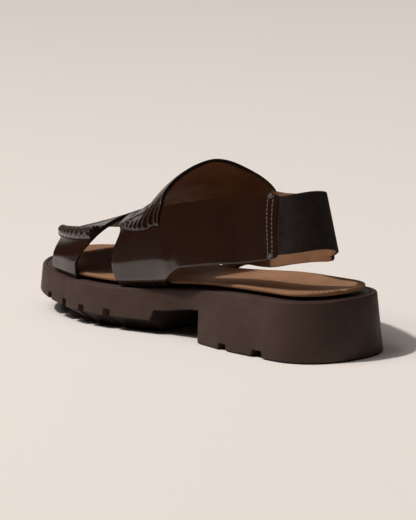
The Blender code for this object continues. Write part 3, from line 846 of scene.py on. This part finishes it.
lugSole = makeOutsole()
print("sole", len(lugSole.data.polygons))


insole = {"inset": 6.3, "under": 2.2, "thick": 2.2, "padInset": 18.0, "gap": 0.3, "rings": 150}


def footbedDip(d, share):
    heel, ball = 1.6 * math.exp(-((d - 42) / 30) ** 2), 0.9 * math.exp(-((d - 190) / 34) ** 2)
    return (heel + ball) * (1 - share * share)


def makeInsole():
    first, last = shoe["heelBack"] + insole["inset"] + 0.05, shoe["toeTip"] - insole["inset"] - 0.05
    s = np.linspace(0, 1, insole["rings"])
    rings, kinds = [], []
    for d in first + (last - first) * (0.45 * s + 0.55 * (1 - np.cos(math.pi * s)) / 2):
        z = rimHeight(d)
        under, top = z + insole["under"], z + insole["under"] + insole["thick"]
        wide = [halfWidth(d, side, -insole["inset"]) for side in (1, -1)]
        pad = [max(0.35 * w, w - (insole["padInset"] - insole["inset"])) for w in wide]
        low = z + insole["gap"] if 40 < d < 238 or min(wide) > 20 else under - 0.2
        e = 0.9 * min(1.0, min(wide) / 8)
        ring = [(pad[0], d, under), (pad[0] - 0.1, d, low), (0.0, d, low)]
        ring += [(-pad[1] + 0.1, d, low), (-pad[1], d, under)]
        ring += [(-wide[1] + 0.5 * e, d, under), (-wide[1], d, under + 0.5 * e)]
        ring += [(-wide[1] + e * (1 - math.cos(t)), d, top - e * (1 - math.sin(t))) for t in quarterTurn]
        for share in np.linspace(-0.93, 0.93, 27):
            ring.append((share * (wide[0] if share > 0 else wide[1]), d, top - footbedDip(d, share)))
        ring += [(wide[0] - e * (1 - math.cos(t)), d, top - e * (1 - math.sin(t))) for t in quarterTurn[::-1]]
        ring += [(wide[0], d, under + 0.5 * e), (wide[0] - 0.5 * e, d, under)]
        rings.append(np.array(ring))
    points, faces = loft(rings)
    piece = makePiece("insoleTop", points, faces, (insoleLeather,))
    turnOut(piece)
    sharpen(piece, 60)
    return piece


insoleTop = makeInsole()
print("insole", len(insoleTop.data.polygons))


def stitchTree():
    tree = bpy.data.node_groups.new("stitchRow", "GeometryNodeTree")
    face = tree.interface
    face.new_socket("Geometry", in_out="INPUT", socket_type="NodeSocketGeometry")
    for name in ("Length", "Width", "Rise"):
        face.new_socket(name, in_out="INPUT", socket_type="NodeSocketFloat").default_value = 0.001
    face.new_socket("Thread", in_out="INPUT", socket_type="NodeSocketMaterial")
    face.new_socket("Geometry", in_out="OUTPUT", socket_type="NodeSocketGeometry")
    start, end = tree.nodes.new("NodeGroupInput"), tree.nodes.new("NodeGroupOutput")

    def lay(kind, settings=None, **links):
        return addNode(tree, kind, settings, **links).outputs[0]

    dots = lay("GeometryNodeMeshToPoints", Mesh=start.outputs["Geometry"])
    named = tree.nodes.new("GeometryNodeInputNamedAttribute")
    named.data_type = "FLOAT_VECTOR"
    named.inputs["Name"].default_value = "turn"
    turned = lay("FunctionNodeEulerToRotation", Euler=named.outputs["Attribute"])
    size = lay("ShaderNodeCombineXYZ", X=start.outputs["Length"], Y=start.outputs["Width"],
               Z=start.outputs["Rise"])
    bead = lay("GeometryNodeMeshUVSphere", {"Segments": 8, "Rings": 6, "Radius": 0.5})
    laid = lay("GeometryNodeInstanceOnPoints", Points=dots, Instance=bead, Rotation=turned, Scale=size)
    soft = lay("GeometryNodeSetShadeSmooth", Geometry=lay("GeometryNodeRealizeInstances", Geometry=laid))
    dyed = lay("GeometryNodeSetMaterial", Geometry=soft, Material=start.outputs["Thread"])
    tree.links.new(dyed, end.inputs[0])
    return tree


stitchRow = stitchTree()


def sewStitches(name, stitches, size, thread):
    # stitches: (place, direction along the thread, direction away from the leather), all in shoe millimetres
    source = bpy.data.meshes.new(name + "Places")
    source.from_pydata([tuple(p) for p in toWorld([s[0] for s in stitches])], [], [])
    turns = []
    for _, along, away in stitches:
        x = Vector((along[0], -along[1], along[2])).normalized()
        z = Vector((away[0], -away[1], away[2]))
        z = (z - x * z.dot(x)).normalized()
        turns += list(Matrix((x, z.cross(x), z)).transposed().to_euler())
    source.attributes.new("turn", "FLOAT_VECTOR", "POINT").data.foreach_set("vector", turns)
    holder = addObject(name + "Holder", source)
    laid = holder.modifiers.new("stitches", "NODES")
    laid.node_group = stitchRow
    values = {"Length": size[0] / 1000, "Width": size[1] / 1000, "Rise": size[2] / 1000, "Thread": thread}
    for socket in stitchRow.interface.items_tree:
        if socket.item_type == "SOCKET" and socket.in_out == "INPUT" and socket.name in values:
            laid[socket.identifier] = values[socket.name]
    graph = bpy.context.evaluated_depsgraph_get()
    mesh = bpy.data.meshes.new_from_object(holder.evaluated_get(graph))
    bpy.data.objects.remove(holder)
    mesh.name = name
    return addObject(name, mesh)


def alongPath(points, pitch, first=0.0, last=None):
    at = runAlong(points)
    last = at[-1] if last is None else last
    wanted = np.linspace(first, last, max(2, int(round((last - first) / pitch)) + 1))
    nearby = 0.3
    places, ahead, behind = (np.stack([np.interp(wanted + move, at, points[:, k]) for k in range(3)], axis=1)
                             for move in (0.0, nearby, -nearby))
    return places, ahead - behind


seams = {"columns": (3.3, 6.7), "pitch": 2.5, "size": (2.2, 0.9, 0.6), "edge": 1.6, "rise": 0.12,
         "barRise": 0.25, "barAside": 1.7, "barPitch": 0.55, "barCount": 5}


def seamStitches():
    points, outward = np.array(strapSheet.points), -strapSheet.inward()
    stitches = []
    for rows in strapRows:
        grid = points[np.array(rows)]
        away = outward[np.array(rows)]
        middle = grid[:, grid.shape[1] // 2]
        back = runAlong(middle[::-1])
        for distance in seams["columns"]:
            at = (len(rows) - 1) - float(np.interp(distance, back, np.arange(len(back))))
            i, f = int(at), at - int(at)
            line = grid[i] * (1 - f) + grid[i + 1] * f
            normal = away[i].mean(axis=0)
            reach = float(runAlong(line)[-1])
            places, along = alongPath(line, seams["pitch"], seams["edge"], reach - seams["edge"])
            stitches += [(p + normal * seams["rise"], a, normal) for p, a in zip(places, along)]
            if distance == seams["columns"][0]:
                continue
            across = grid[i + 3] - grid[i - 3]
            aside = across[0] / np.linalg.norm(across[0]) * seams["barAside"]
            onward = along[0] / np.linalg.norm(along[0])
            for end in (0, -1):    # bar of close stitches that locks each end of the seam
                base = places[end] + normal * seams["barRise"] + aside
                for k in range(seams["barCount"]):
                    shift = seams["barPitch"] * (k - seams["barCount"] // 2)
                    stitches.append((base + onward * shift, across[0], normal))
    return stitches


seamThread = sewStitches("seamThread", seamStitches(), seams["size"], greyThread)


laps = {"toePitch": 2.4, "midPitch": 2.5, "reach": 60, "across": 7, "size": (1.4, 0.36, 0.30)}


def lapStitches(rows, first, pitch, slant):
    # thread over the lap between the top leather and the side leather, on both sides
    points, outward = np.array(topSheet.points), -topSheet.inward()
    found = []
    for end, turn in ((0, 1), (-1, -1)):
        line = points[[row[end] for row in rows]]
        inner = points[[row[end + laps["across"] * turn] for row in rows]]
        normals = outward[[row[end] for row in rows]]
        at = runAlong(line)
        for place in np.arange(first, min(laps["reach"], at[-1] - 1.0), pitch):
            k = float(np.interp(place, at, np.arange(len(at))))
            i = int(k)
            up = inner[i] - line[i]
            up /= np.linalg.norm(up)
            onward = line[min(i + 1, len(line) - 1)] - line[max(i - 1, 0)]
            onward /= np.linalg.norm(onward)
            found.append((line[i] + up * 0.9 + normals[i] * 0.35, up + onward * slant, normals[i]))
    return found


sewn = lapStitches(toeRows, 1.5, laps["toePitch"], 0.5) + lapStitches(midRows, 1.0, laps["midPitch"], 0.25)
lapThread = sewStitches("lapThread", sewn, laps["size"], brownThread)

bedEdge = {"inset": 2.0, "pitch": 3.1, "size": (2.1, 0.55, 0.4)}


def bedStitches():
    stitches = []
    first, last = shoe["heelBack"] + insole["inset"], shoe["toeTip"] - insole["inset"]
    s = np.linspace(0.012, 0.988, 500)
    stations = first + (last - first) * (1 - np.cos(math.pi * s)) / 2
    for side in (1, -1):
        line = []
        for d in stations:
            rim, out = outlinePoint(float(d), side, -insole["inset"])
            p = rim - out * bedEdge["inset"]
            share = min(abs(p[0]) / max(halfWidth(d, side, -insole["inset"]), 1.0), 1.0)
            z = rimHeight(p[1]) + insole["under"] + insole["thick"] - footbedDip(p[1], share)
            line.append((side * p[0], p[1], z + 0.02))
        places, along = alongPath(np.array(line), bedEdge["pitch"])
        stitches += [(p, a, (0, 0, 1)) for p, a in zip(places, along)]
    return stitches


bedThread = sewStitches("bedThread", bedStitches(), bedEdge["size"], tanThread)
print("stitches sewn")


# piece, the CAD node that it stands for, and a label for its finish
pieces = (
    (upperStraps, "upper", "upper_leather"), (topPiece, "upper", "upper_leather"),
    (heelElastic, "heel_elastic", "elastic_fabric"), (lugSole, "outsole", "sole_rubber"),
    (insoleTop, "insole", "insole_leather"), (seamThread, None, "thread"), (lapThread, None, "thread"),
    (bedThread, None, "thread"),
)
for piece, node, slot in pieces:
    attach(piece, "root")
    if node:
        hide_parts(node)


stage = {
    "floor": (0.80, 0.722, 0.66, 1), "reflectedFarFloor": (0.015, 0.014, 0.013, 1), "floorSize": 14.0,
    "nearEdge": 0.36, "farEdge": 0.42, "keyStrength": 2.36, "keyAngle": 2.5,
    "boxWatts": 16.0, "boxSize": 1.3, "boxAway": 2.2, "topWatts": 20.0, "topSize": 4.0, "topHeight": 3.0,
    "surround": (0.012, 0.011, 0.010, 1), "backdrop": (0.44, 0.42, 0.39, 1), "backdropFill": 0.2,
    "pale": (0.79, 0.72, 0.65, 1),
    "cameraAt": (1.4824, 1.8352, 0.4662), "aimAt": (-0.00101, 0.00259, 0.04021), "roll": -0.95, "lens": 354.8,
}


def makeStage():
    half = stage["floorSize"] / 2
    floor = makePiece("floor", [(-half, -half, 0), (half, -half, 0), (half, half, 0), (-half, half, 0)],
                      [(0, 1, 2, 3)], (), world=True)
    material, tree, shader, place = newMaterial("paleFloor", {"Roughness": 0.85, "Specular IOR Level": 0.2})
    # painted reflection: for glossy rays only, the floor is painted dark beyond nearEdge to farEdge from the
    # origin, so gloss on the leather mirrors a small bright table in a dark room; the camera and diffuse
    # light see the floor evenly pale
    away = addNode(tree, "ShaderNodeVectorMath", {"operation": "LENGTH"})
    tree.links.new(place, away.inputs[0])
    ray = tree.nodes.new("ShaderNodeLightPath")
    distant = shareBetween(tree, away.outputs["Value"], stage["nearEdge"], stage["farEdge"])
    faded = multiply(tree, distant, ray.outputs["Is Glossy Ray"])
    wire(tree, shader, {"Base Color": mixColours(tree, faded, stage["floor"], stage["reflectedFarFloor"])})
    floor.data.materials.append(material)

    eye, aim = Vector(stage["cameraAt"]), Vector(stage["aimAt"])
    forward = (aim - eye).normalized()
    world = bpy.data.worlds.new("studio")
    world.use_nodes = True
    room = world.node_tree
    looking = addNode(room, "ShaderNodeVectorMath", {"operation": "DOT_PRODUCT"})
    room.links.new(room.nodes.new("ShaderNodeTexCoord").outputs["Generated"], looking.inputs[0])
    looking.inputs[1].default_value = Vector((forward.x, forward.y, 0)).normalized()
    height = addNode(room, "ShaderNodeSeparateXYZ")
    room.links.new(looking.inputs[0].links[0].from_socket, height.inputs[0])
    behind = multiply(room, shareBetween(room, looking.outputs["Value"], 0.80, 0.93),
                      shareBetween(room, height.outputs["Z"], 0.5, 0.3))
    ray = room.nodes.new("ShaderNodeLightPath")
    dimmed = shareBetween(room, ray.outputs["Is Diffuse Ray"], 0, 1, 1.0, stage["backdropFill"])
    around = mixColours(room, multiply(room, behind, dimmed), stage["surround"], stage["backdrop"])
    seen = ray.outputs["Is Camera Ray"]
    room.links.new(mixColours(room, seen, around, stage["pale"]), room.nodes["Background"].inputs[0])
    bpy.context.scene.world = world
    right = forward.cross(Vector((0, 0, 1))).normalized()
    lift = right.cross(forward)
    roll = math.radians(stage["roll"])
    right, lift = (right * math.cos(roll) + lift * math.sin(roll),
                   lift * math.cos(roll) - right * math.sin(roll))
    data = bpy.data.cameras.new("view")
    data.sensor_fit, data.sensor_width, data.lens, data.clip_end = "HORIZONTAL", 36.0, stage["lens"], 60.0
    camera = addObject("view", data)
    camera.matrix_world = Matrix.Translation(eye) @ Matrix((right, lift, -forward)).transposed().to_4x4()
    bpy.context.scene.camera = camera

    def light(name, kind, at, **settings):
        lamp = bpy.data.lights.new(name, kind)
        for key, value in settings.items():
            setattr(lamp, key, value)
        holder = addObject(name, lamp)
        way = (Vector() - Vector(at)).normalized()    # every lamp aims at the origin
        turn = way.to_track_quat("-Z", "Y").to_matrix().to_4x4()
        holder.matrix_world = Matrix.Translation(Vector(at)) @ turn
        return holder

    level = Vector((right.x, right.y, 0)).normalized()
    nearer = Vector((-forward.x, -forward.y, 0)).normalized()
    sun = -level * 1.0 + nearer * 0.10 + Vector((0, 0, 1.55))
    key = light("key", "SUN", sun, energy=stage["keyStrength"], angle=math.radians(stage["keyAngle"]))
    key.visible_glossy = False
    top = (0, 0, stage["topHeight"])
    overhead = light("overhead", "AREA", top, energy=stage["topWatts"], size=stage["topSize"])
    overhead.visible_glossy = False
    box = sun.normalized() * stage["boxAway"]
    light("softbox", "AREA", box, energy=stage["boxWatts"], size=stage["boxSize"])


makeStage()
bpy.context.scene.view_settings.view_transform = "Standard"
